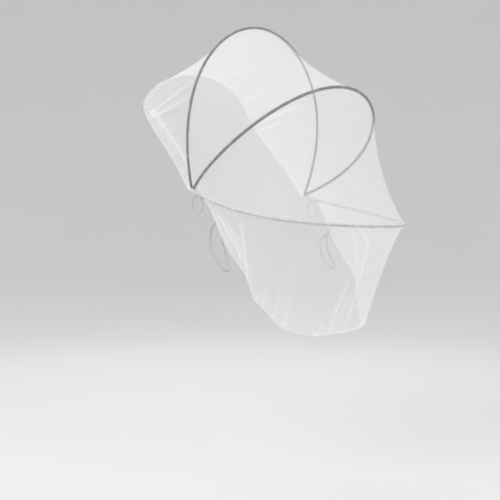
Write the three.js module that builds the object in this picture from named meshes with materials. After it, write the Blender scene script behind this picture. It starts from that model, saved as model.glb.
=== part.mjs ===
import * as THREE from "three";

// A mosquito net for a stroller, as it hangs when it is fitted: four gores of
// fine net between three sprung hoops, with a gathered hem round the open side.
// Millimetres, +Z up, +X towards the foot end. The near side is -Y.
// Everything is worked out from the line through the hoops' ends, the pivot
// line, and then moved so that the origin lies under the crown of the net.

// Driving dimensions
const PIVOT_HALF_WIDTH = 206;
const NET_THICKNESS = 2;
const HEM_THICKNESS = 3;
const REAR_HEM_WIDTH = 24;
const FRONT_HEM_WIDTH = 15;
const HEM_TURNED_UNDER = 20;
const PIPING_RADIUS = 3.5;
const PIPING_GAP = 1;
const GORE_START = 20;
const TAB_RADIUS = 7.5;
const TAB_TIP_RADIUS = 3.5;
const TAB_TIP_REACH = 21.5;
const TAB_THICKNESS = 4;
const SIDE_LOOP_RADIUS = 3;
const HINGE_LOOP_RADIUS = 1.5;

// Steps of the curved surfaces
const HOOP_STEPS = 60;
const SIDE_LOOP_STEPS = 28;
const HINGE_LOOP_STEPS = 22;
const CORD_SIDES = 8;
const TAB_ARC_STEPS = 6;

// Each hoop lies in a plane through the pivot line. tilt is the plane's rise
// above level in degrees, start and reach are the distances from the pivot line
// to the hoop's end and to its middle, lean is how upright its sides leave the
// ends, sidePull and crownPull shape its sides and its middle, and bow is how
// far the sides sag out of the plane.
const HOOPS = {
  rear: { tilt: 84.5, start: 10, reach: 434.7, lean: 70.7, sidePull: 281, crownPull: 141, bow: 5.5 },
  middle: { tilt: 35.8, start: 14, reach: 414.4, lean: 65.7, sidePull: 227, crownPull: 165, bow: 20.3 },
  front: { tilt: -12.7, start: 28, reach: 418.7, lean: 69.1, sidePull: 285, crownPull: 239, bow: 5.4 },
};

// The two hems from the pivot line to the middle: x forward, out from the
// middle plane, z up.
const REAR_HEM = [
  { x: -10, out: 206, z: -2 },
  { x: -74, out: 203, z: 75 },
  { x: -130, out: 201, z: 133 },
  { x: -187, out: 199, z: 192 },
  { x: -216, out: 196, z: 236 },
  { x: -222, out: 180, z: 268 },
  { x: -218, out: 134, z: 309 },
  { x: -213, out: 70, z: 333 },
  { x: -212, out: 0, z: 342 },
];
const FRONT_HEM = [
  { x: 47, out: 207, z: -18 },
  { x: 73, out: 205, z: -52 },
  { x: 106, out: 201, z: -114 },
  { x: 140, out: 199, z: -160 },
  { x: 184, out: 196, z: -205 },
  { x: 200, out: 193, z: -236 },
  { x: 208, out: 184, z: -264 },
  { x: 236, out: 164, z: -298 },
  { x: 276, out: 146, z: -331 },
  { x: 288, out: 112, z: -346 },
  { x: 290, out: 60, z: -353 },
  { x: 290, out: 0, z: -355 },
];

// Folds pressed and pulled into the net. Each is a soft ridge (height above
// zero) or trough along a line through its places; along is the share of the
// way from the near end to the far end, down the share of the way from the
// gore's upper rim to its lower one.
const REAR_FOLDS = [
  { through: [[0.254, 0.05], [0.26, 0.3], [0.263, 0.88]], height: 3.5, width: 9 },
  { through: [[0.243, 0.07], [0.232, 0.5], [0.221, 0.9]], height: 3.5, width: 9 },
  { through: [[0.226, 0.1], [0.219, 0.38], [0.207, 0.69]], height: -3, width: 10 },
  { through: [[0.193, 0.18], [0.124, 0.36], [0.058, 0.76]], height: 2.5, width: 10 },
  { through: [[0.36, 0.04], [0.37, 0.6]], height: -3, width: 14 },
  { through: [[0.45, 0.04], [0.44, 0.55]], height: 3, width: 14 },
  { through: [[0.56, 0.04], [0.58, 0.62]], height: 3, width: 14 },
  { through: [[0.66, 0.04], [0.672, 0.5]], height: 3, width: 13 },
  { through: [[0.735, 0.05], [0.742, 0.3], [0.752, 0.85]], height: 3.5, width: 9 },
  { through: [[0.76, 0.05], [0.772, 0.6]], height: 3, width: 9 },
];
const TOP_FOLDS = [
  { through: [[0.3, 0.1], [0.34, 0.9]], height: -2, width: 22 },
  { through: [[0.64, 0.1], [0.68, 0.9]], height: -2, width: 22 },
];
const FRONT_FOLDS = [
  { through: [[0.12, 0.1], [0.14, 0.9]], height: -3, width: 26 },
  { through: [[0.87, 0.1], [0.86, 0.9]], height: -3, width: 26 },
];
const LOWER_FOLDS = [
  { through: [[0.079, 0.14], [0.097, 0.24], [0.132, 0.5], [0.209, 0.87]], height: 5, width: 9 },
  { through: [[0.194, 0.1], [0.199, 0.4], [0.209, 0.62], [0.237, 0.97]], height: 6, width: 9 },
  { through: [[0.12, 0.2], [0.142, 0.35], [0.176, 0.58], [0.212, 0.81]], height: 4, width: 9 },
  { through: [[0.172, 0.36], [0.188, 0.59]], height: -5, width: 10 },
  { through: [[0.27, 0.97], [0.315, 0.85]], height: 7, width: 20 },
  { through: [[0.48, 0.97], [0.484, 0.67], [0.494, 0.44]], height: 5, width: 8 },
  { through: [[0.524, 0.97], [0.532, 0.8], [0.529, 0.62], [0.522, 0.44]], height: 5, width: 8 },
  { through: [[0.75, 0.95], [0.79, 0.5], [0.86, 0.22]], height: 5, width: 10 },
  { through: [[0.775, 0.94], [0.83, 0.58], [0.9, 0.24]], height: 4.5, width: 9 },
];

// The soft cords on the near side, by hand: x forward, out, z up. The side loop
// leaves the hem on the outside, hangs behind it and comes back inside.
const SIDE_LOOP = [
  [94, 213, -84],
  [87, 212.5, -93],
  [80, 211, -106],
  [77, 211, -123],
  [79.5, 210.5, -139],
  [86, 210, -155],
  [98, 209, -170],
  [110, 206, -186],
  [118, 199, -197],
  [119, 187, -199],
  [111, 178, -187],
  [98, 174, -168],
  [89, 174, -146],
  [87, 177, -126],
  [92, 184, -111],
  [104, 194, -103],
];
const HINGE_LOOP = [
  [25, 206, -13],
  [16, 208.5, -16],
  [9, 209.5, -26],
  [8, 209, -40],
  [16, 207, -53],
  [28, 206, -58],
  [41, 207, -52],
  [47, 208.5, -39],
  [44, 208, -25],
  [37, 206, -16],
];

// A hoop from its near end to its far end
class HoopCurve extends THREE.Curve {
  constructor(hoop) {
    super();
    const lean = THREE.MathUtils.degToRad(hoop.lean);
    this.hoop = hoop;
    this.tilt = THREE.MathUtils.degToRad(hoop.tilt);
    this.half = new THREE.CubicBezierCurve(
      new THREE.Vector2(PIVOT_HALF_WIDTH, hoop.start),
      new THREE.Vector2(
        PIVOT_HALF_WIDTH + hoop.sidePull * Math.cos(lean),
        hoop.start + hoop.sidePull * Math.sin(lean),
      ),
      new THREE.Vector2(hoop.crownPull, hoop.reach),
      new THREE.Vector2(0, hoop.reach),
    );
  }

  getPoint(t, target = new THREE.Vector3()) {
    const flat = this.half.getPoint(1 - Math.abs(2 * t - 1));
    const side = t < 0.5 ? -1 : 1;
    const share = (flat.y - this.hoop.start) / (this.hoop.reach - this.hoop.start);
    const bow = this.hoop.bow * 4 * share * (1 - share);
    return target.set(
      flat.y * Math.cos(this.tilt) + bow * Math.sin(this.tilt),
      side * flat.x,
      flat.y * Math.sin(this.tilt) - bow * Math.cos(this.tilt),
    );
  }
}

// A hem from its near end to its far end, the same on both sides
function hemCurve(stations) {
  const near = stations.map((s) => new THREE.Vector3(s.x, -s.out, s.z));
  const far = stations.slice(0, -1).map((s) => new THREE.Vector3(s.x, s.out, s.z));
  return new THREE.CatmullRomCurve3([...near, ...far.reverse()]);
}

const rearHoop = new HoopCurve(HOOPS.rear);
const middleHoop = new HoopCurve(HOOPS.middle);
const frontHoop = new HoopCurve(HOOPS.front);
const rearHem = hemCurve(REAR_HEM);
const frontHem = hemCurve(FRONT_HEM);

// How far along a straight pull of the net its edge stays off a hoop's middle
function setBack(curve, t, pull) {
  const angle = curve.getTangentAt(t).angleTo(pull);
  return (PIPING_RADIUS + PIPING_GAP) / Math.sin(angle);
}

// The share of a hem that turns under at the foot end: none at the sides
function underShare(t) {
  const fromMiddle = Math.abs(t - 0.5);
  return 1 - THREE.MathUtils.smoothstep(fromMiddle, 0.13, 0.22);
}

// One line of the net straight from rim to rim: rows evenly spaced points
function straightRows(from, to, rows) {
  return Array.from({ length: rows + 1 }, (_, j) => from.clone().lerp(to, j / rows));
}

// One line of the lower gore: straight down, then turned under the foot end
function lowerRows(from, hem, pull, t, rows) {
  const under = underShare(t);
  const toe = hem.clone().addScaledVector(pull, -FRONT_HEM_WIDTH * (1 - under));
  const edge = hem.clone().add(new THREE.Vector3(-HEM_TURNED_UNDER * under, 0, 0));
  const turned = straightRows(toe, edge, 2).slice(1);
  return [...straightRows(from, toe, rows - 2), ...turned];
}

// How much a fold lifts the net at a place on the gore, in millimetres
function foldLift(fold, along, down, length, drop) {
  const place = new THREE.Vector2(along * length, down * drop);
  const stations = fold.through.map(([a, d]) => new THREE.Vector2(a * length, d * drop));
  const distances = stations.slice(1).map((end, k) => {
    const run = end.clone().sub(stations[k]);
    const share = THREE.MathUtils.clamp(place.clone().sub(stations[k]).dot(run) / run.lengthSq(), 0, 1);
    return place.distanceTo(stations[k].clone().addScaledVector(run, share));
  });
  return fold.height * Math.exp(-((Math.min(...distances) / fold.width) ** 2));
}

// A gore's middle surface as columns of points from its near end to its far end
function goreColumns(gore) {
  const length = Math.min(gore.upper.getLength(), gore.lower.getLength());
  const margin = GORE_START / length;
  const columns = [];
  for (let i = 0; i <= gore.columns; i++) {
    const t = margin + (1 - 2 * margin) * (i / gore.columns);
    const from = gore.upper.getPointAt(t);
    const to = gore.lower.getPointAt(t);
    const pull = to.clone().sub(from).normalize();
    if (gore.upper instanceof HoopCurve) from.addScaledVector(pull, setBack(gore.upper, t, pull));
    if (gore.lower instanceof HoopCurve) to.addScaledVector(pull, -setBack(gore.lower, t, pull));
    const rows =
      gore.lower === frontHem
        ? lowerRows(from, to, pull, t, gore.rows)
        : straightRows(from, to, gore.rows);
    columns.push({ t, rows, drop: from.distanceTo(to) });
  }
  return { columns, length };
}

// The outward direction at a point of a surface given as columns of rows
function outward(columns, i, j) {
  const before = columns[Math.max(i - 1, 0)].rows[j];
  const after = columns[Math.min(i + 1, columns.length - 1)].rows[j];
  const rows = columns[i].rows;
  const above = rows[Math.max(j - 1, 0)];
  const below = rows[Math.min(j + 1, rows.length - 1)];
  return below.clone().sub(above).cross(after.clone().sub(before)).normalize();
}

// The gore's thickness: double at the hem, where the cloth is turned over
function thicknessAt(gore, drop, j) {
  const fromUpper = (j / gore.rows) * drop;
  const inRearHem = gore.upper === rearHem && fromUpper < REAR_HEM_WIDTH;
  const inFrontHem = gore.lower === frontHem && j > gore.rows - 2;
  return inRearHem || inFrontHem ? HEM_THICKNESS : NET_THICKNESS;
}

// How far the pulled net draws in between its rims: all of it halfway, none at them
function drawnIn(gore, drop, j) {
  const share = Math.min(j / (gore.lower === frontHem ? gore.rows - 2 : gore.rows), 1);
  return gore.sag * drop * 4 * share * (1 - share);
}

// A closed sheet on the gore's middle surface, drawn in between its rims and
// lifted along its folds
function goreGeometry(gore) {
  const { columns, length } = goreColumns(gore);
  const rowCount = gore.rows + 1;
  const outer = [];
  const inner = [];
  columns.forEach((column, i) => {
    column.rows.forEach((point, j) => {
      const normal = outward(columns, i, j);
      const down = j / gore.rows;
      const nearRim = Math.sin(Math.PI * THREE.MathUtils.clamp(down, 0.02, 0.98));
      const fade = Math.min(1, 3 * nearRim);
      const lift = gore.folds.reduce(
        (sum, fold) => sum + foldLift(fold, column.t, down, length, column.drop),
        0,
      );
      const out = lift * fade - drawnIn(gore, column.drop, j);
      const half = thicknessAt(gore, column.drop, j) / 2;
      outer.push(point.clone().addScaledVector(normal, out + half));
      inner.push(point.clone().addScaledVector(normal, out - half));
    });
  });

  const at = (i, j) => i * rowCount + j;
  const innerStart = outer.length;
  const triangles = [];
  for (let i = 0; i < gore.columns; i++) {
    for (let j = 0; j < gore.rows; j++) {
      const [a, b, c, d] = [at(i, j), at(i, j + 1), at(i + 1, j + 1), at(i + 1, j)];
      triangles.push(a, b, c, a, c, d);
      triangles.push(
        innerStart + a, innerStart + c, innerStart + b,
        innerStart + a, innerStart + d, innerStart + c,
      );
    }
  }
  const rim = [];
  for (let j = 0; j < gore.rows; j++) rim.push(at(0, j));
  for (let i = 0; i < gore.columns; i++) rim.push(at(i, gore.rows));
  for (let j = gore.rows; j > 0; j--) rim.push(at(gore.columns, j));
  for (let i = gore.columns; i > 0; i--) rim.push(at(i, 0));
  rim.forEach((a, k) => {
    const b = rim[(k + 1) % rim.length];
    triangles.push(b, a, innerStart + a, b, innerStart + a, innerStart + b);
  });

  const geometry = new THREE.BufferGeometry().setFromPoints([...outer, ...inner]);
  geometry.setIndex(triangles);
  geometry.computeVertexNormals();
  return geometry;
}

// A round cord along a curve
function cordGeometry(curve, radius, steps) {
  const section = new THREE.Shape();
  section.absarc(0, 0, radius, 0, 2 * Math.PI);
  const outline = new THREE.Shape(section.getSpacedPoints(CORD_SIDES).slice(0, CORD_SIDES));
  return new THREE.ExtrudeGeometry(outline, {
    steps,
    extrudePath: curve,
    bevelEnabled: false,
  });
}

// A hand-laid route on one side; side is -1 for the near one
function routeOn(side, route) {
  return new THREE.CatmullRomCurve3(route.map(([x, out, z]) => new THREE.Vector3(x, side * out, z)));
}

// The sewn tab at the hoops' ends: a round patch with a tongue to the front hoop
function tabGeometry() {
  const shape = new THREE.Shape();
  const slope = Math.acos((TAB_RADIUS - TAB_TIP_RADIUS) / TAB_TIP_REACH);
  shape.absarc(0, 0, TAB_RADIUS, slope, 2 * Math.PI - slope);
  shape.absarc(TAB_TIP_REACH, 0, TAB_TIP_RADIUS, -slope, slope);
  const geometry = new THREE.ExtrudeGeometry(shape, {
    depth: TAB_THICKNESS,
    curveSegments: TAB_ARC_STEPS,
    bevelEnabled: false,
  });
  geometry.rotateZ(THREE.MathUtils.degToRad(HOOPS.front.tilt));
  geometry.rotateX(Math.PI / 2);
  geometry.translate(0, TAB_THICKNESS / 2, 0);
  return geometry;
}

// Materials
const netCloth = new THREE.MeshStandardMaterial({ color: 0xf4f4f5, roughness: 0.85, metalness: 0 });
const piping = new THREE.MeshStandardMaterial({ color: 0x9a928a, roughness: 0.7, metalness: 0 });
const palePiping = new THREE.MeshStandardMaterial({ color: 0xd8cfc8, roughness: 0.7, metalness: 0 });
const elastic = new THREE.MeshStandardMaterial({ color: 0xcfc5ba, roughness: 0.75, metalness: 0 });

const net = new THREE.Group();

function add(name, geometry, material) {
  const mesh = new THREE.Mesh(geometry, material);
  mesh.name = name;
  net.add(mesh);
  return mesh;
}

// The four gores, from the head end to the foot end. sag is how far the net
// draws in halfway between the rims, as a share of the way between them.
const GORES = [
  { name: "rear_net", upper: rearHem, lower: rearHoop, columns: 84, rows: 8, sag: 0.034, folds: REAR_FOLDS },
  { name: "top_net", upper: rearHoop, lower: middleHoop, columns: 42, rows: 4, sag: 0.045, folds: TOP_FOLDS },
  { name: "front_net", upper: middleHoop, lower: frontHoop, columns: 44, rows: 6, sag: 0.058, folds: FRONT_FOLDS },
  { name: "lower_net", upper: frontHoop, lower: frontHem, columns: 110, rows: 12, sag: 0.018, folds: LOWER_FOLDS },
];
GORES.forEach((gore) => add(gore.name, goreGeometry(gore), netCloth));

// The three sprung hoops in their piping
add("rear_hoop", cordGeometry(rearHoop, PIPING_RADIUS, HOOP_STEPS), piping);
add("middle_hoop", cordGeometry(middleHoop, PIPING_RADIUS, HOOP_STEPS), piping);
add("front_hoop", cordGeometry(frontHoop, PIPING_RADIUS, HOOP_STEPS), palePiping);

// The tab and the two elastic loops on each side
for (const [word, side] of [["near", -1], ["far", 1]]) {
  const tab = add(`${word}_tab`, tabGeometry(), palePiping);
  tab.position.y = side * PIVOT_HALF_WIDTH;
  const sideLoop = routeOn(side, SIDE_LOOP);
  const hingeLoop = routeOn(side, HINGE_LOOP);
  add(`${word}_side_loop`, cordGeometry(sideLoop, SIDE_LOOP_RADIUS, SIDE_LOOP_STEPS), elastic);
  add(`${word}_hinge_loop`, cordGeometry(hingeLoop, HINGE_LOOP_RADIUS, HINGE_LOOP_STEPS), elastic);
}

// The origin lies at the underside of the rear hoop's crown
const crown = rearHoop.getPoint(0.5);
net.position.set(-crown.x, 0, -(crown.z - PIPING_RADIUS));

const part = new THREE.Group();
part.add(net);
export default part;
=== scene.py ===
import math

import bpy
import numpy as np
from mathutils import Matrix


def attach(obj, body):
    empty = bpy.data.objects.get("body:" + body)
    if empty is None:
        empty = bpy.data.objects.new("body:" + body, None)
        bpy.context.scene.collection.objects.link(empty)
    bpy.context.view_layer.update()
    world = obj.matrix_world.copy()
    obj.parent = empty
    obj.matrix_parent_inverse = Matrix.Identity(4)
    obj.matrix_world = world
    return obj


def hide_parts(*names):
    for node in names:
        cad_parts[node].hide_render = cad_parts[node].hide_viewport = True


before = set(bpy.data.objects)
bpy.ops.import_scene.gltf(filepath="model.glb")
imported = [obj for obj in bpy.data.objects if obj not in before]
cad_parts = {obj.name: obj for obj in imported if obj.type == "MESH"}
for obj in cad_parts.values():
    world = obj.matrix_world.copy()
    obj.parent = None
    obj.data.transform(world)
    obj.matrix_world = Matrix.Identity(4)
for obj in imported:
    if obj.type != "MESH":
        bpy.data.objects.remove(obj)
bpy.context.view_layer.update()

# The camera
# Almost level, turned 47 degrees, with a long lens, at the photograph's place.
# Places are given from the pivot line, where the hoops' ends meet.
PIVOT = np.array([-0.0416641, 0.0, -0.4291987])
CAMERA_AZIMUTH, CAMERA_ELEVATION = 47.0, 0.25
CAMERA_PLACE = np.array([1.8501, -1.7296, -0.1384])
CAMERA_LENS, CAMERA_SENSOR = 68.4, 36.0

lens = bpy.data.cameras.new("camera")
lens.lens = CAMERA_LENS
lens.sensor_width = CAMERA_SENSOR
camera = bpy.data.objects.new("camera", lens)
camera.location = CAMERA_PLACE + PIVOT
camera.rotation_euler = (math.radians(90 - CAMERA_ELEVATION), 0, math.radians(CAMERA_AZIMUTH))
bpy.context.scene.collection.objects.link(camera)
bpy.context.scene.camera = camera

# The side loops
# One on each side: a soft braided elastic cord 6 mm thick, sewn to the front
# hem at its upper end, looped down and turned back to the inside of the hem.
SIDE_CORD, SIDE_RINGS, SIDE_RING_POINTS = 0.006, 120, 16
SIDE_LOOP = np.array(
    [
        (0.0960, 0.2090, -0.082),
        (0.0880, 0.2120, -0.092),
        (0.0800, 0.2110, -0.106),
        (0.0770, 0.2110, -0.123),
        (0.0795, 0.2105, -0.139),
        (0.0860, 0.2100, -0.155),
        (0.0980, 0.2090, -0.170),
        (0.1100, 0.2060, -0.186),
        (0.1180, 0.1990, -0.197),
        (0.1190, 0.1870, -0.199),
        (0.1110, 0.1780, -0.187),
        (0.0980, 0.1740, -0.168),
        (0.0890, 0.1740, -0.146),
        (0.0870, 0.1770, -0.126),
        (0.0920, 0.1840, -0.111),
        (0.1022, 0.1990, -0.1045),
    ]
)


def linear(code):
    """A hex colour of sRGB as linear numbers: c / 12.92 up to 0.04045, and ((c + 0.055) / 1.055)^2.4 above."""
    c = np.array([int(code[i : i + 2], 16) / 255 for i in (1, 3, 5)])
    return (*np.where(c <= 0.04045, c / 12.92, ((c + 0.055) / 1.055) ** 2.4), 1.0)


def add_node(tree, kind, inputs=None, **settings):
    """A node of that kind with its settings. inputs gives each input's value, or the socket that it is linked to."""
    node = tree.nodes.new(kind)
    for key, value in settings.items():
        setattr(node, key, value)
    for key, value in (inputs or {}).items():
        if isinstance(value, bpy.types.NodeSocket):
            tree.links.new(value, node.inputs[key])
        else:
            node.inputs[key].default_value = value
    return node


def new_material(name):
    """An empty node material and its tree."""
    material = bpy.data.materials.new(name)
    material.use_nodes = True
    material.node_tree.nodes.clear()
    return material, material.node_tree


def unit(v):
    """v divided by its length, along the last axis."""
    return v / np.maximum(np.linalg.norm(v, axis=-1, keepdims=True), 1e-12)


def way_along(line):
    """The length of the line up to each of its points."""
    return np.concatenate([[0], np.cumsum(np.linalg.norm(np.diff(line, axis=0), axis=1))])


def read_off(line, way, at):
    """Each coordinate of the line read off at the ways at, straight between its points, which lie at the ways way."""
    return np.stack([np.interp(at, way, line[:, k]) for k in range(3)], axis=1)


def evenly(line, count):
    """The line again as count points, read off at equal shares of its length."""
    way = way_along(line)
    return read_off(line, way, np.linspace(0, way[-1], count))


def through(points, count):
    """A smooth line through the points, as count points evenly apart.

    It is a centripetal Catmull-Rom curve: each stretch is a cubic between two points, and its slopes come from their
    neighbours, with the points spaced by the root of the distance between them. Each cubic is read at 40 places.
    """
    reads = 40
    p = np.concatenate([[2 * points[0] - points[1]], points, [2 * points[-1] - points[-2]]])
    gap = np.sqrt(np.linalg.norm(np.diff(p, axis=0), axis=1))
    before, here, after = gap[:-2, None], gap[1:-1, None], gap[2:, None]
    a, b, c, d = p[:-3], p[1:-2], p[2:-1], p[3:]
    leave = ((b - a) / before - (c - a) / (before + here) + (c - b) / here) * here
    arrive = ((c - b) / here - (d - b) / (here + after) + (d - c) / after) * here
    t = np.linspace(0, 1, reads, endpoint=False)[None, :, None]
    b, c, leave, arrive = b[:, None], c[:, None], leave[:, None], arrive[:, None]
    cubic = (
        (2 * t**3 - 3 * t**2 + 1) * b
        + (t**3 - 2 * t**2 + t) * leave
        + (3 * t**2 - 2 * t**3) * c
        + (t**3 - t**2) * arrive
    )
    return evenly(np.concatenate([cubic.reshape(-1, 3), points[-1:]]), count)


def grid_piece(name, points, place, material, closed=False, marks=None):
    """A piece on a grid of points (along, across): each cell is a quad that faces the way of along x across.

    When closed, the last column joins the first and a fan to its middle shuts each end. place is each point's place on
    the cloth in metres, kept as the UV map "cloth", and marks are further numbers for each point.
    """
    n, m = points.shape[:2]
    index = np.arange(n * m).reshape(n, m)
    if closed:
        index = np.concatenate([index, index[:, :1]], axis=1)
    quads = np.stack([index[:-1, :-1], index[1:, :-1], index[1:, 1:], index[:-1, 1:]], axis=-1)
    vertices, flat_place, faces = points.reshape(-1, 3), place.reshape(-1, 2), quads.reshape(-1, 4).tolist()
    if closed:
        vertices = np.concatenate([vertices, points[[0, -1]].mean(axis=1)])
        flat_place = np.concatenate([flat_place, place[[0, -1]].mean(axis=1)])
        start, end = np.full(m, n * m), np.full(m, n * m + 1)
        faces += np.stack([start, index[0, :-1], index[0, 1:]], axis=-1).tolist()
        faces += np.stack([end, index[-1, 1:], index[-1, :-1]], axis=-1).tolist()
    return mesh_piece(name, vertices, faces, flat_place, material, marks)


def mesh_piece(name, vertices, faces, place, material, marks=None):
    """A smooth-shaded piece at the origin from its vertices and faces, with the UV map "cloth"."""
    mesh = bpy.data.meshes.new(name)
    mesh.from_pydata(vertices.tolist(), [], faces)
    corner = np.empty(len(mesh.loops), dtype=np.int32)
    mesh.loops.foreach_get("vertex_index", corner)
    layer = mesh.uv_layers.new(name="cloth")
    layer.data.foreach_set("uv", place[corner].astype(np.float32).ravel())
    for key, value in (marks or {}).items():
        number = mesh.attributes.new(name=key, type="FLOAT", domain="POINT")
        number.data.foreach_set("value", value.reshape(-1).astype(np.float32))
    mesh.polygons.foreach_set("use_smooth", np.ones(len(mesh.polygons), dtype=bool))
    mesh.materials.append(material)
    piece = bpy.data.objects.new(name, mesh)
    bpy.context.scene.collection.objects.link(piece)
    return piece


def tube_points(line, radius, sides, beside):
    """Rings round a line: the surface at angle a lies at line + radius * (cos a * s + sin a * b).

    s is square to the line and to the direction beside, and b = s x line. radius is one number, or one for each point
    of the line.
    """
    along = unit(np.gradient(line, axis=0))
    s = unit(np.cross(along, np.broadcast_to(beside, line.shape)))
    b = np.cross(s, along)
    a = np.linspace(0, 2 * np.pi, sides, endpoint=False)
    ring = np.cos(a)[None, :, None] * s[:, None] + np.sin(a)[None, :, None] * b[:, None]
    return line[:, None] + ring * np.broadcast_to(np.asarray(radius).reshape(-1, 1, 1), (len(line), sides, 1))


def tube_place(line, radius, sides):
    """Places on a tube's cover in metres: the way along the line, and the way round it."""
    round_it = np.linspace(0, 2 * np.pi * radius, sides, endpoint=False)
    return np.stack(np.meshgrid(way_along(line), round_it, indexing="ij"), axis=-1)


# Beige polyester braid over rubber: a matt, soft yarn that shows as a small
# criss-cross of strands, with painted shade between them.
BRAID_STRAND = 0.0022


def braided_elastic():
    material, tree = new_material("beige_braided_elastic")
    cloth = add_node(tree, "ShaderNodeUVMap", uv_map="cloth")
    split = add_node(tree, "ShaderNodeSeparateXYZ", {0: cloth.outputs["UV"]})
    strands = []
    # Strands are 0.8 mm wide in the real braid and drawn nearly three times as wide, so that they show.
    for lean in (1.0, -1.0):
        across = add_node(
            tree, "ShaderNodeMath", {0: split.outputs["Y"], 1: lean, 2: split.outputs["X"]}, operation="MULTIPLY_ADD"
        )
        turned = add_node(
            tree, "ShaderNodeMath", {0: across.outputs[0], 1: math.pi / BRAID_STRAND}, operation="MULTIPLY"
        )
        wave = add_node(tree, "ShaderNodeMath", {0: turned.outputs[0]}, operation="SINE")
        strands.append(add_node(tree, "ShaderNodeMath", {0: wave.outputs[0]}, operation="ABSOLUTE").outputs[0])
    braid = add_node(tree, "ShaderNodeMath", {0: strands[0], 1: strands[1]}, operation="MAXIMUM")
    # The strands are painted paler on their crests and darker towards their edges and in the gaps between them: painted
    # shade.
    colour = add_node(tree, "ShaderNodeMapRange", {"Value": braid.outputs[0], "From Min": 0.5})
    tint = add_node(
        tree,
        "ShaderNodeMix",
        {"Factor": colour.outputs[0], "A": linear("#9c9791"), "B": linear("#c6c1bb")},
        data_type="RGBA",
    )
    bump = add_node(tree, "ShaderNodeBump", {"Height": braid.outputs[0], "Strength": 0.5, "Distance": 0.0004})
    surface = add_node(
        tree,
        "ShaderNodeBsdfPrincipled",
        {"Base Color": tint.outputs["Result"], "Roughness": 0.78, "Normal": bump.outputs[0], "Sheen Weight": 0.2},
    )
    add_node(tree, "ShaderNodeOutputMaterial", {"Surface": surface.outputs[0]})
    return material


elastic = braided_elastic()


def elastic_loop(side, name, stations, thickness, rings, ring_points):
    """A loop on one side: a tube of even thickness along a smooth line through its stations.

    Its rings are square to the line. They start from a direction that the loop nowhere runs along, which keeps them
    from twisting.
    """
    route = through(stations * [1, side, 1] + PIVOT, rings)
    nowhere_along = np.array([0.15, side * 0.6, 0.78])
    tube = tube_points(route, thickness / 2, ring_points, nowhere_along)
    place = tube_place(route, thickness / 2, ring_points)
    loop = grid_piece(name.replace("loop", "elastic"), tube, place, elastic, closed=True)
    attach(loop, "root")
    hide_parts(name)


for end, side in (("near", -1), ("far", 1)):
    elastic_loop(side, f"{end}_side_loop", SIDE_LOOP, SIDE_CORD, SIDE_RINGS, SIDE_RING_POINTS)

# The hinge loops
# One at each end of the front hoop: a thin ring of the same elastic, 3 mm
# thick, that hooks round what the net is fitted to.
HINGE_CORD, HINGE_RINGS, HINGE_RING_POINTS = 0.003, 96, 12
HINGE_LOOP = np.array(
    [
        (0.025, 0.2060, -0.013),
        (0.016, 0.2085, -0.016),
        (0.009, 0.2095, -0.026),
        (0.008, 0.2090, -0.040),
        (0.016, 0.2070, -0.053),
        (0.028, 0.2060, -0.058),
        (0.041, 0.2070, -0.052),
        (0.047, 0.2085, -0.039),
        (0.044, 0.2080, -0.025),
        (0.037, 0.2060, -0.016),
    ]
)
for end, side in (("near", -1), ("far", 1)):
    elastic_loop(side, f"{end}_hinge_loop", HINGE_LOOP, HINGE_CORD, HINGE_RINGS, HINGE_RING_POINTS)

# The tabs
# On each side a teardrop of doubled beige tape, sewn round its edge. It holds
# the ends of the three hoops together.
TAB_RADIUS, TAB_TIP_RADIUS, TAB_TIP_REACH = 0.0075, 0.0035, 0.0215
TAB_THICKNESS, TAB_TILT, TAB_OUT = 0.004, -12.7, 0.206
TAB_MIDDLE = np.array([0.006, 0.0])
# The seam lies at a share of the way from the middle to the edge, in a groove.
# The groove's width is a share of that way. Its depth, and how high the
# stitches lie, are shares of half the thickness.
TAB_SEAM, TAB_GROOVE_WIDTH, TAB_GROOVE, TAB_STITCHES = 0.74, 0.07, 0.12, 0.82
TAB_THREAD_RADIUS, THREAD_TWIST = 0.0004, 0.0008
TAPE_RIB = 0.0016


def grosgrain_tape(name, face, groove, worn):
    """Polyester grosgrain: fine ribs across the tape that catch the light, on a matt face, paler where it rubs.

    The grooves between the ribs are drawn in a darker colour, as painted shade.
    """
    material, tree = new_material(name)
    cloth = add_node(tree, "ShaderNodeUVMap", uv_map="cloth")
    split = add_node(tree, "ShaderNodeSeparateXYZ", {0: cloth.outputs["UV"]})
    # Ribs are 0.4 mm apart in the real tape and drawn four times as coarse, so that they show.
    turned = add_node(
        tree, "ShaderNodeMath", {0: split.outputs["X"], 1: 2 * math.pi / TAPE_RIB}, operation="MULTIPLY"
    )
    wave = add_node(tree, "ShaderNodeMath", {0: turned.outputs[0]}, operation="SINE")
    rib = add_node(tree, "ShaderNodeMapRange", {"Value": wave.outputs[0], "From Min": -1.0})
    rub = add_node(tree, "ShaderNodeTexNoise", {"Vector": cloth.outputs["UV"], "Scale": 60.0, "Detail": 4.0})
    rubbed = add_node(tree, "ShaderNodeMapRange", {"Value": rub.outputs["Fac"], "From Min": 0.45, "From Max": 0.75})
    # The grooves between the ribs take the darker groove colour: painted shade, on the same wave as the bump.
    painted_rib_shade = add_node(
        tree, "ShaderNodeMix", {"Factor": rib.outputs[0], "A": linear(groove), "B": linear(face)}, data_type="RGBA"
    )
    tint = add_node(
        tree,
        "ShaderNodeMix",
        {"Factor": rubbed.outputs[0], "A": painted_rib_shade.outputs["Result"], "B": linear(worn)},
        data_type="RGBA",
    )
    bump = add_node(tree, "ShaderNodeBump", {"Height": rib.outputs[0], "Strength": 0.5, "Distance": 0.0004})
    surface = add_node(
        tree,
        "ShaderNodeBsdfPrincipled",
        {"Base Color": tint.outputs["Result"], "Roughness": 0.7, "Normal": bump.outputs[0], "Sheen Weight": 0.25},
    )
    add_node(tree, "ShaderNodeOutputMaterial", {"Surface": surface.outputs[0]})
    return material


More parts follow.
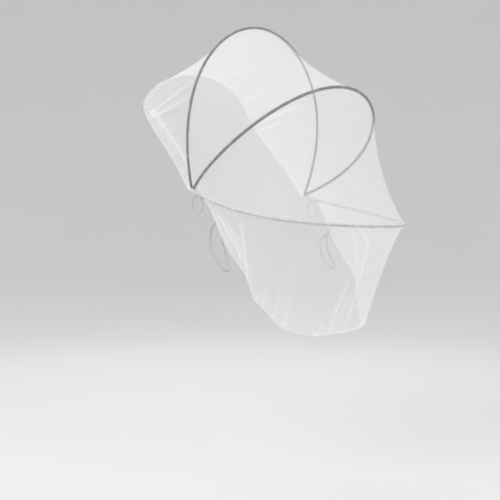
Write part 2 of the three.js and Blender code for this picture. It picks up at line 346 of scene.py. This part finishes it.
def sewing_thread():
    """White spun polyester thread: two plies twisted together, with a faint gloss and painted shade between the plies.
    """
    material, tree = new_material("white_polyester_thread")
    cloth = add_node(tree, "ShaderNodeUVMap", uv_map="cloth")
    split = add_node(tree, "ShaderNodeSeparateXYZ", {0: cloth.outputs["UV"]})
    # The plies run slantwise round the thread, and meet the same place again after one twist.
    twist = add_node(
        tree, "ShaderNodeMath", {0: split.outputs["X"], 1: 1.5, 2: split.outputs["Y"]}, operation="MULTIPLY_ADD"
    )
    turned = add_node(
        tree, "ShaderNodeMath", {0: twist.outputs[0], 1: 2 * math.pi / THREAD_TWIST}, operation="MULTIPLY"
    )
    ply = add_node(tree, "ShaderNodeMath", {0: turned.outputs[0]}, operation="SINE")
    bump = add_node(tree, "ShaderNodeBump", {"Height": ply.outputs[0], "Strength": 0.4, "Distance": 0.0001})
    # The plies are painted paler on their crests and darker between them: painted shade in the twist.
    tint = add_node(
        tree,
        "ShaderNodeMix",
        {"Factor": ply.outputs[0], "A": linear("#e4e3e1"), "B": linear("#f7f7f6")},
        data_type="RGBA",
    )
    surface = add_node(
        tree,
        "ShaderNodeBsdfPrincipled",
        {"Base Color": tint.outputs["Result"], "Roughness": 0.5, "Normal": bump.outputs[0]},
    )
    add_node(tree, "ShaderNodeOutputMaterial", {"Surface": surface.outputs[0]})
    return material


# Each tape: its face, the painted shade in the grooves between its ribs, and its paler worn patches.
taupe_tape = grosgrain_tape("taupe_grosgrain_tape", "#8c8781", "#726e6a", "#a09b95")
beige_tape = grosgrain_tape("beige_grosgrain_tape", "#cfccc8", "#b3b0ac", "#dcdad7")
thread = sewing_thread()


def stitches(name, rows, radius, material):
    """Rows of stitches as one piece.

    rows holds pairs of a line and the direction away from the cloth, at each of its points. Each stitch is a spindle
    along the line: five-sided rings whose radius is 0.35, 0.9, 0.9 and 0.35 of the thread's. It points from a place
    1 mm behind its middle to one 1 mm ahead.
    """
    pitch, length, sides, near_by = 0.0042, 0.0030, 5, 0.001
    centre, along, up = [], [], []
    for line, away in rows:
        way = way_along(line)
        at = np.arange(pitch / 2, way[-1], pitch)
        centre.append(read_off(line, way, at))
        along.append(unit(read_off(line, way, at + near_by) - read_off(line, way, at - near_by)))
        up.append(unit(read_off(away, way, at)))
    centre, along, up = (np.concatenate(v) for v in (centre, along, up))
    beside = unit(np.cross(up, along))
    a = np.arange(sides) * 2 * np.pi / sides
    share = np.array([-0.5, -0.28, 0.28, 0.5])
    size = np.array([0.35, 0.9, 0.9, 0.35]) * radius
    ring = np.cos(a)[:, None] * beside[:, None, :] - np.sin(a)[:, None] * up[:, None, :]
    points = (
        centre[:, None, None]
        + (share * length)[None, :, None, None] * along[:, None, None]
        + size[None, :, None, None] * ring[:, None]
    )
    count, rings = len(centre), len(share)
    index = np.arange(count * rings * sides).reshape(count, rings, sides)
    index = np.concatenate([index, index[..., :1]], axis=-1)
    quads = np.stack([index[:, :-1, :-1], index[:, 1:, :-1], index[:, 1:, 1:], index[:, :-1, 1:]], axis=-1)
    faces = quads.reshape(-1, 4).tolist() + index[:, 0, :sides].tolist() + index[:, -1, sides - 1 :: -1].tolist()
    place = np.stack(
        np.broadcast_arrays(
            (np.arange(count)[:, None, None] * pitch + (share * length)[None, :, None]), (a * radius)[None, None]
        ),
        axis=-1,
    )
    piece = mesh_piece(name, points.reshape(-1, 3), faces, place.reshape(-1, 2), material)
    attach(piece, "root")
    return piece


def tab_outline(count):
    """A teardrop round the origin in the tab's plane: an arc of the large radius, straight sides and an arc at the tip.

    The straight sides touch both circles, so each arc ends at the angle whose cosine is the difference of the radii
    over the distance between their middles.
    """
    reach = TAB_TIP_REACH - TAB_TIP_RADIUS
    touch = math.acos((TAB_RADIUS - TAB_TIP_RADIUS) / reach)
    big = np.linspace(touch, 2 * np.pi - touch, 60)
    small = np.linspace(-touch, touch, 30)
    outline = np.concatenate(
        [
            np.stack([TAB_RADIUS * np.cos(big), TAB_RADIUS * np.sin(big)], axis=1),
            np.stack([reach + TAB_TIP_RADIUS * np.cos(small), TAB_TIP_RADIUS * np.sin(small)], axis=1),
        ]
    )
    outline = np.concatenate([outline, outline[:1]])
    line = np.concatenate([outline, np.zeros((len(outline), 1))], axis=1)
    return evenly(line, count + 1)[:-1, :2]


def from_tab_plane(side, flat, out):
    """Places in the tab's own plane as points: turned by the tab's tilt, and set out from the net's middle plane."""
    turn = math.radians(TAB_TILT)
    x = flat[..., 0] * math.cos(turn) - flat[..., 1] * math.sin(turn)
    z = flat[..., 0] * math.sin(turn) + flat[..., 1] * math.cos(turn)
    return np.stack([x, np.broadcast_to(side * out, x.shape), z], axis=-1) + PIVOT


def sewn_tab(side, name):
    """A padded teardrop: over the middle, at share r of the way to the outline, it is thick by the root of 1 - r^6.

    The groove under the stitches is exp(-(distance / width)^2) of its full depth. The rows of the grid go out over one
    face and back over the other. r is the sine of even steps, which sets them closest together at the edge.
    """
    steps = 22
    outline = tab_outline(96)
    r = np.sin(np.linspace(0.02, np.pi / 2, steps))
    r = np.concatenate([r, r[-2::-1]])
    face = np.concatenate([np.ones(steps), -np.ones(steps - 1)])
    thick = np.sqrt(np.maximum(1 - r**6, 0)) - TAB_GROOVE * np.exp(-(((r - TAB_SEAM) / TAB_GROOVE_WIDTH) ** 2))
    flat = TAB_MIDDLE + (outline - TAB_MIDDLE)[None] * r[:, None, None]
    depth = (face * thick * TAB_THICKNESS / 2)[:, None] * np.ones(len(outline))
    points = from_tab_plane(side, flat, TAB_OUT + depth)
    # The tab is cut 0.1 m across from the hoops' tape, so it is worn at other places.
    place = flat + [0.0, 0.1]
    if side > 0:
        points, place = points[:, ::-1], place[:, ::-1]
    tab = grid_piece(name.replace("tab", "sewn_tab"), points[::-1], place[::-1], beige_tape, closed=True)
    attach(tab, "root")
    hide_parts(name)
    seam = TAB_MIDDLE + (outline - TAB_MIDDLE) * TAB_SEAM
    seam = np.concatenate([seam, seam[:1]])
    rows = []
    for out in (1, -1):
        line = from_tab_plane(side, seam, TAB_OUT + out * TAB_THICKNESS / 2 * TAB_STITCHES)
        rows.append((line, np.broadcast_to([0, side * out, 0], line.shape)))
    stitches(f"{name}_stitches", rows, TAB_THREAD_RADIUS, thread)


for end, side in (("near", -1), ("far", 1)):
    sewn_tab(side, f"{end}_tab")

# The hoops
# Three spring wires, each in a sewn casing of grosgrain tape about 7 mm thick.
# They hold the net open, and their narrow ends are sewn into the tabs.
PIPING_RADIUS = 0.0037
PIVOT_HALF_WIDTH = 0.206
HOOP_RINGS, HOOP_RING_POINTS, RIM_POINTS = 480, 16, 1201
# The casing narrows to half its thickness in its last 12 mm, inside the tabs.
# The front hoop's is thicker just outside them, where the tape is folded back:
# by its whole share up to 14 mm from the end, and by nothing beyond 58 mm.
NARROW_FROM = 0.012
FOLDED_BACK = {"rear": 0.0, "middle": 0.0, "front": 0.95}
FOLD_WHOLE_TO, FOLD_TO = 0.0135, 0.0585
# The tape puckers a little round the wire: the wavelength, share of the
# thickness and phase of each wave.
TAPE_PUCKERS = [(0.011, 0.018, 0.0), (0.037, 0.012, 1.0)]
HOOPS = {
    "rear": dict(tilt=84.5, start=0.010, reach=0.4347, lean=70.7, side=0.281, crown=0.141, bow=0.0055, tuck=0.007),
    "middle": dict(tilt=35.8, start=0.014, reach=0.4144, lean=65.7, side=0.227, crown=0.165, bow=0.0203, tuck=0.010),
    "front": dict(tilt=-12.7, start=0.028, reach=0.4187, lean=69.1, side=0.285, crown=0.239, bow=0.0054, tuck=0.010),
}


def hoop_line(tilt, start, reach, lean, side, crown, bow, tuck):
    """A hoop's middle line from its near end to its far end.

    In the hoop's plane each half is a cubic Bezier from (half width, start) to (0, reach), which leaves its end at the
    lean angle and meets the middle square on. The sides sag out of the plane by bow * 4q(1 - q), where q is the share
    of the way up. tuck is a straight run before the end, inside the tab. The cubic is read at 400 places.
    """
    t = np.linspace(0, 1, 400)[:, None]
    lean, tilt = np.radians([lean, tilt])
    leave = np.array([np.cos(lean), np.sin(lean)])
    a = np.array([PIVOT_HALF_WIDTH, start])
    b, c, d = a + side * leave, np.array([crown, reach]), np.array([0, reach])
    half = (1 - t) ** 3 * a + 3 * (1 - t) ** 2 * t * b + 3 * (1 - t) * t**2 * c + t**3 * d
    half = np.concatenate([a - leave * tuck * np.linspace(1, 0.1, 10)[:, None], half])
    flat = np.concatenate([half * [-1, 1], half[-2::-1]])
    q = np.clip((flat[:, 1] - start) / (reach - start), 0, 1)
    out = bow * 4 * q * (1 - q)
    x = flat[:, 1] * np.cos(tilt) + out * np.sin(tilt)
    z = flat[:, 1] * np.sin(tilt) - out * np.cos(tilt)
    return np.stack([x, flat[:, 0], z], axis=1) + PIVOT


hoop_lines = {}
for name, (tape, finish) in {
    "rear": (taupe_tape, "piping"),
    "middle": (taupe_tape, "piping"),
    "front": (beige_tape, "pale_piping"),
}.items():
    hoop = HOOPS[name]
    whole = evenly(hoop_line(**hoop), HOOP_RINGS)
    hoop_lines[name] = evenly(hoop_line(**{**hoop, "tuck": 0.0}), RIM_POINTS)
    tilt = math.radians(hoop["tilt"])
    square = np.array([math.sin(tilt), 0, -math.cos(tilt)])
    way = way_along(whole)
    from_end = np.minimum(way, way[-1] - way)
    narrow = 0.5 + 0.5 * np.clip(from_end / NARROW_FROM, 0, 1) ** 0.7
    folded = 1 + FOLDED_BACK[name] * np.clip((FOLD_TO - from_end) / (FOLD_TO - FOLD_WHOLE_TO), 0, 1)
    pucker = 1 + sum(size * np.sin(way * 2 * np.pi / wavelength + phase) for wavelength, size, phase in TAPE_PUCKERS)
    tube = tube_points(whole, PIPING_RADIUS * narrow * folded * pucker, HOOP_RING_POINTS, square)
    place = tube_place(whole, PIPING_RADIUS, HOOP_RING_POINTS)
    piping = grid_piece(f"{name}_piping", tube, place, tape, closed=True)
    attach(piping, "root")
    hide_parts(f"{name}_hoop")

# The net
# Four gores of sheer white polyester net. They are pulled from hoop to hoop,
# draw in by up to 20 mm halfway, and are gathered at the two turned hems.
REAR_HEM = np.array(
    [
        (-0.010, 0.206, -0.002),
        (-0.074, 0.203, 0.075),
        (-0.130, 0.201, 0.133),
        (-0.187, 0.199, 0.192),
        (-0.216, 0.196, 0.236),
        (-0.222, 0.180, 0.268),
        (-0.218, 0.134, 0.309),
        (-0.213, 0.070, 0.333),
        (-0.212, 0.000, 0.342),
    ]
)
FRONT_HEM = np.array(
    [
        (0.047, 0.207, -0.018),
        (0.073, 0.205, -0.052),
        (0.106, 0.201, -0.114),
        (0.140, 0.199, -0.160),
        (0.184, 0.196, -0.205),
        (0.200, 0.193, -0.236),
        (0.208, 0.184, -0.264),
        (0.236, 0.164, -0.298),
        (0.276, 0.146, -0.331),
        (0.288, 0.112, -0.346),
        (0.290, 0.060, -0.353),
        (0.290, 0.000, -0.355),
    ]
)
# A hem's two sides are HEM_GAP apart. It takes up HEM_SHARE of a gore's depth at
# most, where the gore runs out to nothing.
REAR_HEM_WIDTH, FRONT_HEM_WIDTH, HEM_SHARE = 0.030, 0.015, 0.6
HEM_ROWS, HEM_GAP = 9, 0.0009
# The front hem is turned under by 20 mm at the foot end: wholly up to the first
# share of its length from the middle, and not at all beyond the second.
HEM_TURNED_UNDER, WHOLLY_UNDER, NOT_UNDER = 0.020, 0.13, 0.22
GORE_START, SEAM_DEPTH = 0.004, 0.0022
# How far each gore draws in halfway between its rims, as a share of the way
# between them. Folds and gathers flatten over PINNED beside a sewn rim.
DRAWN_IN = {"rear": 0.034, "top": 0.045, "front": 0.058, "lower": 0.018}
PINNED = 0.010
# Each fold: the points that it runs through as shares along the gore and from
# its first rim, how far it stands out, its width, and the layers that it adds.
# Where the layers are negative, the net is thinned along a groove so that it
# shows darker there: painted shade.
FOLDS = {
    "rear": [
        ([(0.255, 0.050), (0.253, 0.100), (0.260, 0.300), (0.263, 0.900)], 0.0040, 0.0042, 1.5),
        ([(0.244, 0.050), (0.240, 0.120), (0.230, 0.500), (0.217, 0.950)], 0.0040, 0.0040, 1.5),
        # Layers taken away along this groove: a painted shadow line.
        ([(0.228, 0.100), (0.219, 0.380), (0.207, 0.690)], -0.0035, 0.0060, -0.25),
        ([(0.262, 0.075), (0.240, 0.105), (0.222, 0.140)], 0.0025, 0.0040, 0.6),
        (
            [(0.285, 0.105), (0.250, 0.140), (0.225, 0.175), (0.193, 0.222), (0.158, 0.285), (0.124, 0.385)]
            + [(0.091, 0.545), (0.060, 0.760), (0.040, 0.970), (0.022, 1.150)],
            0.0020,
            0.0080,
            1.2,
        ),
        # Layers taken away along a groove beside the strip above: a painted shadow line.
        ([(0.230, 0.175), (0.200, 0.220), (0.165, 0.280), (0.131, 0.400), (0.098, 0.590)], -0.0015, 0.0030, -0.35),
        ([(0.199, 0.150), (0.196, 0.407), (0.192, 0.560)], 0.0015, 0.0055, 0.35),
        ([(0.172, 0.180), (0.168, 0.540)], 0.0015, 0.0055, 0.3),
        ([(0.305, 0.060), (0.312, 0.500)], -0.0020, 0.0080, 0.0),
        ([(0.360, 0.040), (0.370, 0.600)], -0.0030, 0.0100, 0.2),
        ([(0.450, 0.040), (0.440, 0.550)], 0.0030, 0.0080, 0.5),
        ([(0.560, 0.040), (0.580, 0.620)], 0.0030, 0.0080, 0.5),
        ([(0.660, 0.040), (0.672, 0.500)], 0.0025, 0.0060, 0.6),
        ([(0.735, 0.020), (0.742, 0.300), (0.752, 0.850)], 0.0040, 0.0045, 1.7),
        ([(0.760, 0.020), (0.772, 0.600)], 0.0035, 0.0045, 1.3),
        ([(0.805, 0.100), (0.812, 0.560)], 0.0015, 0.0050, 0.6),
    ],
    "top": [
        ([(0.30, 0.10), (0.34, 0.90)], -0.0020, 0.0200, 0.0),
        ([(0.64, 0.10), (0.68, 0.90)], -0.0020, 0.0200, 0.0),
    ],
    "front": [
        ([(0.12, 0.10), (0.14, 0.90)], -0.0030, 0.0240, 0.0),
        ([(0.87, 0.10), (0.86, 0.90)], -0.0030, 0.0240, 0.0),
    ],
    "lower": [
        ([(0.209, 0.130), (0.165, 0.365), (0.132, 0.498), (0.097, 0.759), (0.079, 0.860)], 0.0045, 0.0060, 1.5),
        ([(0.237, 0.020), (0.217, 0.219), (0.209, 0.382), (0.199, 0.605), (0.194, 0.900)], 0.0055, 0.0048, 2.1),
        ([(0.212, 0.190), (0.196, 0.317), (0.176, 0.421), (0.142, 0.647), (0.120, 0.800)], 0.0040, 0.0060, 1.0),
        ([(0.148, 0.360), (0.152, 0.281), (0.161, 0.127)], -0.0040, 0.0060, 0.0),
        ([(0.172, 0.640), (0.179, 0.533), (0.188, 0.410)], -0.0050, 0.0080, 0.0),
        ([(0.055, 0.600), (0.085, 0.380), (0.120, 0.200), (0.165, 0.080)], 0.0025, 0.0150, 0.9),
        ([(0.262, 0.000), (0.290, 0.050), (0.318, 0.120)], 0.0060, 0.0150, 0.2),
        ([(0.484, 0.020), (0.487, 0.228), (0.490, 0.330), (0.501, 0.580)], 0.0050, 0.0042, 2.0),
        ([(0.529, 0.020), (0.537, 0.197), (0.535, 0.378), (0.528, 0.580)], 0.0050, 0.0042, 2.0),
        ([(0.519, 0.060), (0.513, 0.259), (0.510, 0.460)], 0.0025, 0.0035, 1.0),
        ([(0.467, 0.000), (0.470, 0.160)], 0.0020, 0.0035, 0.8),
        ([(0.452, 0.000), (0.453, 0.130)], 0.0020, 0.0035, 0.8),
        ([(0.750, 0.050), (0.790, 0.500), (0.860, 0.780)], 0.0050, 0.0070, 1.2),
        ([(0.775, 0.060), (0.830, 0.420), (0.900, 0.760)], 0.0045, 0.0060, 1.0),
    ],
}
# Gathers beside a free hem: wavelength, height, how far they reach into the
# gore, the layers of net that they add at their crests, and their seed. They
# lean by a tenth of the way in. The elastic in the hem's edge keeps the hem
# smoother than the net: a quarter as high at the edge.
GATHERS = [(0.036, 0.0014, 0.085, 0.30, 7), (0.018, 0.0009, 0.050, 0.40, 8), (0.009, 0.0005, 0.024, 0.30, 9)]
GATHER_LEAN, SMOOTHER = 0.10, 0.25
# A hem is the cloth twice over, so each of its two sides counts for little more
# than half a layer. Layers are added at its folded edge, over EDGE_WIDTH.
HEM_SIDE_LAYERS, EDGE_LAYERS, EDGE_WIDTH = 0.56, 0.3, 0.0015
# Net bunches up in its narrow ends beside the tabs: layers added there, and
# how fast they thin out.
BUNCHED, BUNCH_LENGTH = 1.8, 0.020
# Small puckers where the net is sewn to the piping: wavelength, height, how far
# from the rim they are highest, their width, and their seeds at the two rims.
PUCKER_WAVE, PUCKER_HEIGHT, PUCKER_AT, PUCKER_WIDTH = 0.012, 0.0005, 0.006, 0.005
SECOND_RIM_SEED, FIRST_RIM_SEED = 31, 32
# Stitches run three rows of the grid from a hoop in a gore with a hem, and two
# rows from it in the others. The thread lies on the face of the cloth.
STITCH_ROW_HEMMED, STITCH_ROW, NET_THREAD_RADIUS = 3, 2, 0.0003
# The mesh is 1.2 mm wide in the real net and drawn twice as wide, so that it
# shows from close by. One layer lets through THREADS_PASS on its threads and
# HOLES_PASS in its holes.
NET_MESH, THREADS_PASS, HOLES_PASS = 0.0024, 0.54, 0.80


def smooth(x, low, high):
    """0 below low, 1 above high, and 3s^2 - 2s^3 of the share s between them."""
    s = np.clip((x - low) / (high - low), 0, 1)
    return s * s * (3 - 2 * s)


def hem_line(stations):
    """A hem from its near end to its far end, the same on both sides."""
    return through(np.concatenate([stations * [1, -1, 1], stations[-2::-1]]) + PIVOT, RIM_POINTS)


def read_rim(rim, share):
    """Places and directions at shares of the length of a rim, whose points are evenly apart."""
    even = np.linspace(0, 1, len(rim))
    return read_off(rim, even, share), read_off(np.gradient(rim, axis=0), even, share)


def ripple(way, wavelength, seed):
    """An uneven wave of about -1 to 1: nine sines of wavelengths near the given one, with seeded sizes and phases."""
    draw = np.random.default_rng(seed)
    length = wavelength * draw.uniform(0.62, 1.7, 9)
    phase, size = draw.uniform(0, 2 * np.pi, 9), draw.uniform(0.4, 1.0, 9)
    return (size * np.sin(2 * np.pi * way[..., None] / length + phase)).sum(-1) / size.sum() * 2.2


def fold_line(place, stations, width, length, depth):
    """How near each place lies to a fold: exp(-(distance / width)^2), faded over its first tenth and its last 60 mm.

    The fold runs straight on the cloth from station to station, and the distance is in metres from the nearest of these
    runs. A short fold is faded over its last third.
    """
    at = [np.stack([np.full_like(depth, u * length), v * depth], axis=-1)[:, None] for u, v in stations]
    away, way, done = np.full(place.shape[:2], np.inf), np.zeros(place.shape[:2]), 0.0
    for start, end in zip(at[:-1], at[1:]):
        run = end - start
        size = np.linalg.norm(run, axis=-1)
        share = np.clip(((place - start) * run).sum(-1) / size**2, 0, 1)
        here = np.linalg.norm(place - start - run * share[..., None], axis=-1)
        way = np.where(here < away, done + size * share, way)
        away = np.minimum(away, here)
        done = done + size
    fade = np.minimum(0.060, 0.35 * done)
    near = np.exp(-((away / width) ** 2))
    return near * smooth(way, -0.03 * done, 0.12 * done) * (1 - smooth(way, done - fade, done))


def sheer_net():
    """White polyester net: a hexagon mesh of fine thread, which hides about a third of what is behind it.

    The sum of the cosines of three waves at 60 degrees to each other is high in the holes and low on the threads. What
    n layers let through is what one does to the power n, and layers is an attribute of the cloth.
    """
    material, tree = new_material("white_polyester_net")
    cloth = add_node(tree, "ShaderNodeUVMap", uv_map="cloth")
    layers = add_node(tree, "ShaderNodeAttribute", attribute_name="layers")
    turn = 4 * math.pi / (math.sqrt(3) * NET_MESH)
    waves = []
    for angle in (0, 60, 120):
        way = (turn * math.cos(math.radians(angle)), turn * math.sin(math.radians(angle)), 0)
        dot = add_node(tree, "ShaderNodeVectorMath", {0: cloth.outputs["UV"], 1: way}, operation="DOT_PRODUCT")
        waves.append(add_node(tree, "ShaderNodeMath", {0: dot.outputs["Value"]}, operation="COSINE").outputs[0])
    two = add_node(tree, "ShaderNodeMath", {0: waves[0], 1: waves[1]}, operation="ADD")
    three = add_node(tree, "ShaderNodeMath", {0: two.outputs[0], 1: waves[2]}, operation="ADD")
    mesh = add_node(
        tree,
        "ShaderNodeMapRange",
        {"Value": three.outputs[0], "From Min": -1.0, "From Max": 0.8, "To Min": THREADS_PASS, "To Max": HOLES_PASS},
    )
    cloud = add_node(tree, "ShaderNodeTexNoise", {"Vector": cloth.outputs["UV"], "Scale": 22.0, "Detail": 4.0})
    uneven = add_node(tree, "ShaderNodeMapRange", {"Value": cloud.outputs["Fac"], "To Min": 0.88, "To Max": 1.12})
    power = add_node(tree, "ShaderNodeMath", {0: layers.outputs["Fac"], 1: uneven.outputs[0]}, operation="MULTIPLY")
    through_it = add_node(tree, "ShaderNodeMath", {0: mesh.outputs[0], 1: power.outputs[0]}, operation="POWER")
    cover = add_node(tree, "ShaderNodeMath", {0: 1.0, 1: through_it.outputs[0]}, operation="SUBTRACT")
    front_lit = add_node(
        tree, "ShaderNodeBsdfPrincipled", {"Base Color": linear("#f8f8f8"), "Roughness": 0.75, "Sheen Weight": 0.15}
    )
    back_lit = add_node(tree, "ShaderNodeBsdfTranslucent", {"Color": linear("#f8f8f8")})
    lit = add_node(tree, "ShaderNodeMixShader", {0: 0.4, 1: front_lit.outputs[0], 2: back_lit.outputs[0]})
    open_air = add_node(tree, "ShaderNodeBsdfTransparent")
    surface = add_node(
        tree, "ShaderNodeMixShader", {0: cover.outputs[0], 1: open_air.outputs[0], 2: lit.outputs[0]}
    )
    add_node(tree, "ShaderNodeOutputMaterial", {"Surface": surface.outputs[0]})
    return material


rear_hem, front_hem = hem_line(REAR_HEM), hem_line(FRONT_HEM)
net_cloth = sheer_net()
GORES = {
    "rear": dict(first=rear_hem, second=hoop_lines["rear"], columns=520, rows=84, hem=REAR_HEM_WIDTH),
    "top": dict(first=hoop_lines["rear"], second=hoop_lines["middle"], columns=420, rows=90, hem=0.0),
    "front": dict(first=hoop_lines["middle"], second=hoop_lines["front"], columns=420, rows=90, hem=0.0),
    "lower": dict(first=front_hem, second=hoop_lines["front"], columns=560, rows=100, hem=FRONT_HEM_WIDTH),
}


def set_back(pull, along_rim):
    """How far a pull stops before a hoop's line: the depth of the seam over the sine of its angle to the hoop."""
    return pull * SEAM_DEPTH / np.linalg.norm(np.cross(pull, unit(along_rim)), axis=1, keepdims=True)


def gore_grid(name, first, second, columns, rows, hem):
    """A gore's cloth as a grid of points from its first rim to its second, with each point's place on the cloth.

    Each column is a straight pull between the rims, read at the same share of their lengths, and it ends inside a
    hoop's piping. A hem's rows come first, and the front hem is turned under at the foot end. Three rounds of averaging
    each point with its neighbours, by quarter, half and quarter, round off the hem's inner edge.
    """
    length = min(way_along(rim)[-1] for rim in (first, second))
    share = np.linspace(GORE_START / length, 1 - GORE_START / length, columns)
    start, along_first = read_rim(first, share)
    end, along_second = read_rim(second, share)
    pull = unit(end - start)
    if hem == 0:
        start = start + set_back(pull, along_first)
    end = end - set_back(pull, along_second)
    foot = 1 - smooth(np.abs(share - 0.5), WHOLLY_UNDER, NOT_UNDER)
    under = foot if name == "lower" else np.zeros(columns)
    edge = start + np.stack([-HEM_TURNED_UNDER * under, 0 * under, 0 * under], axis=1)
    width = np.minimum(hem, HEM_SHARE * np.linalg.norm(end - start, axis=1)) * (1 - under)
    inner = start + pull * width[:, None]
    points = inner[:, None] + (end - inner)[:, None] * np.linspace(0, 1, rows)[None, :, None]
    if hem:
        band = edge[:, None] + (inner - edge)[:, None] * np.linspace(0, 1, HEM_ROWS, endpoint=False)[None, :, None]
        points = np.concatenate([band, points], axis=1)
    for _ in range(3):
        points[:, 1:-1] = (points[:, :-2] + 2 * points[:, 1:-1] + points[:, 2:]) / 4
    across = np.cumsum(np.linalg.norm(np.diff(points, axis=1, prepend=points[:, :1]), axis=2), axis=1)
    place = np.stack([np.broadcast_to((share * length)[:, None], across.shape), across], axis=-1)
    return points, place, length, across[:, -1]


def seam_pucker(along, from_rim, seed):
    """A ripple along a rim. It is exp(-(distance / width)^2) as high away from the line where it is highest."""
    return ripple(along, PUCKER_WAVE, seed) * np.exp(-(((from_rim - PUCKER_AT) / PUCKER_WIDTH) ** 2))


# Each gore is lifted off its grid by its own draw, folds, gathers and puckers.
# Only the lower gore's grid faces inwards, because its hem is its lower rim.
for name, gore in GORES.items():
    points, place, length, depth = gore_grid(name, **gore)
    hem = gore["hem"]
    faces_in = name == "lower"
    out = unit(np.cross(np.gradient(points, axis=1), np.gradient(points, axis=0))) * (-1 if faces_in else 1)
    along, from_first = place[..., 0], place[..., 1]
    from_second = depth[:, None] - from_first
    pinned = 1 - np.exp(-from_second / PINNED)
    if not hem:
        pinned = pinned * (1 - np.exp(-from_first / PINNED))
    # At the share q of the way between the rims the net is drawn in by 4q(1 - q) of what it is halfway.
    q = from_first / depth[:, None]
    lift, layers = -DRAWN_IN[name] * depth[:, None] * 4 * q * (1 - q), np.ones(q.shape)
    for stations, height, width, layers_added in FOLDS[name]:
        near = fold_line(place, stations, width, length, depth)
        lift = lift + height * near * pinned
        # Negative layers thin the net along a groove: painted shade.
        layers = layers + layers_added * near
    layers = layers + BUNCHED * np.exp(-np.minimum(along, length - along) / BUNCH_LENGTH)
    if hem:
        smoother = SMOOTHER + (1 - SMOOTHER) * smooth(from_first, 0.0, hem)
        for wavelength, height, reach, layers_added, seed in GATHERS:
            wave = ripple(along + GATHER_LEAN * from_first, wavelength, seed) * np.exp(-from_first / reach)
            lift = lift + height * wave * pinned * smoother
            layers = layers + layers_added * np.maximum(wave, 0)
        layers = np.where(from_first < hem, HEM_SIDE_LAYERS * layers, layers)
        layers = layers + EDGE_LAYERS * np.exp(-from_first / EDGE_WIDTH)
    pucker = seam_pucker(along, from_second, SECOND_RIM_SEED)
    if not hem:
        pucker = pucker + seam_pucker(along, from_first, FIRST_RIM_SEED)
    lift = lift + PUCKER_HEIGHT * pucker
    points = points + out * lift[..., None]
    # One row of stitches runs beside each piping, and one along the inner edge of a hem.
    beside = STITCH_ROW_HEMMED if hem else STITCH_ROW
    sewn = [points.shape[1] - 1 - beside, HEM_ROWS if hem else beside]
    rows = [(points[:, row] + out[:, row] * NET_THREAD_RADIUS, out[:, row]) for row in sewn]
    if hem:
        inside = (points[:, : HEM_ROWS + 1] - out[:, : HEM_ROWS + 1] * HEM_GAP)[:, ::-1]
        inside_place = (place[:, : HEM_ROWS + 1] * [1, -1])[:, ::-1]
        points = np.concatenate([inside, points], axis=1)
        place = np.concatenate([inside_place, place], axis=1)
        layers = np.concatenate([layers[:, : HEM_ROWS + 1][:, ::-1], layers], axis=1)
    if not faces_in:
        points, place, layers = points[:, ::-1], place[:, ::-1], layers[:, ::-1]
    cloth = grid_piece(f"{name}_gore", points, place, net_cloth, marks={"layers": layers})
    seams = stitches(f"{name}_gore_stitches", rows, NET_THREAD_RADIUS, thread)
    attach(cloth, "root")
    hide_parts(f"{name}_net")

# The stage
# A pale grey paper bowl: level under the net and curved up on all sides, grey
# enough to show a white net.
FLOOR_BELOW_PIVOT = 0.685
BOWL_LEVEL, BOWL_BEND, BOWL_REACH = 3.0, 5.4, 8.3


def pale_paper():
    """Matt grey paper: an even face, with clouds of fibre that differ by a shade."""
    material, tree = new_material("pale_grey_paper")
    grain = add_node(tree, "ShaderNodeTexCoord")
    fibre = add_node(tree, "ShaderNodeTexNoise", {"Vector": grain.outputs["Object"], "Scale": 2.0, "Detail": 3.0})
    tint = add_node(
        tree,
        "ShaderNodeMix",
        {"Factor": fibre.outputs["Fac"], "A": linear("#cfd0d1"), "B": linear("#d2d3d4")},
        data_type="RGBA",
    )
    surface = add_node(tree, "ShaderNodeBsdfPrincipled", {"Base Color": tint.outputs["Result"], "Roughness": 0.9})
    surface.inputs["Specular IOR Level"].default_value = 0.1
    add_node(tree, "ShaderNodeOutputMaterial", {"Surface": surface.outputs[0]})
    return material


def paper_bowl():
    """A square of places u, v drawn to a disc of radius BOWL_REACH, which rises from its level middle on an arc.

    A place at the distance max(|u|, |v|) from the middle is moved in along its own direction until that is its true
    distance r. Its height is bend - sqrt(bend^2 - (r - level)^2) beyond the level part, and 0 inside it.
    """
    side = np.linspace(-1, 1, 121)
    u, v = np.meshgrid(side, side, indexing="ij")
    share = np.maximum(np.abs(u), np.abs(v)) / np.maximum(np.hypot(u, v), 1e-9)
    x, y = u * share * BOWL_REACH, v * share * BOWL_REACH
    beyond = np.maximum(np.hypot(x, y) - BOWL_LEVEL, 0)
    z = BOWL_BEND - np.sqrt(BOWL_BEND**2 - beyond**2) - FLOOR_BELOW_PIVOT
    return np.stack([x, y, z], axis=-1) + PIVOT


bowl_points = paper_bowl()
bowl = grid_piece("paper_bowl", bowl_points, bowl_points[..., :2], pale_paper())

# The light
# A big soft box high at the camera's left, a weaker one at its right and one
# behind the top, in an even white surround.
LIGHTS = {
    "key": dict(place=(0.3, -2.9, 2.4), size=2.4, power=75),
    "fill": dict(place=(3.0, 0.4, 1.2), size=2.4, power=22),
    "back": dict(place=(-1.8, 1.6, 2.2), size=1.8, power=30),
}
SURROUND = 0.95

for name, lamp in LIGHTS.items():
    light = bpy.data.lights.new(name, "AREA")
    light.shape = "SQUARE"
    light.size = lamp["size"]
    light.energy = lamp["power"]
    box = bpy.data.objects.new(name, light)
    bpy.context.scene.collection.objects.link(box)
    aim = -np.array(lamp["place"])
    box.location = PIVOT - aim
    box.rotation_euler = (math.atan2(math.hypot(aim[0], aim[1]), -aim[2]), 0, math.atan2(aim[1], aim[0]) - math.pi / 2)

surround = bpy.data.worlds.new("surround")
surround.use_nodes = True
surround.node_tree.nodes["Background"].inputs["Color"].default_value = linear("#fafafb")
surround.node_tree.nodes["Background"].inputs["Strength"].default_value = SURROUND
bpy.context.scene.world = surround
bpy.context.scene.view_settings.view_transform = "Standard"
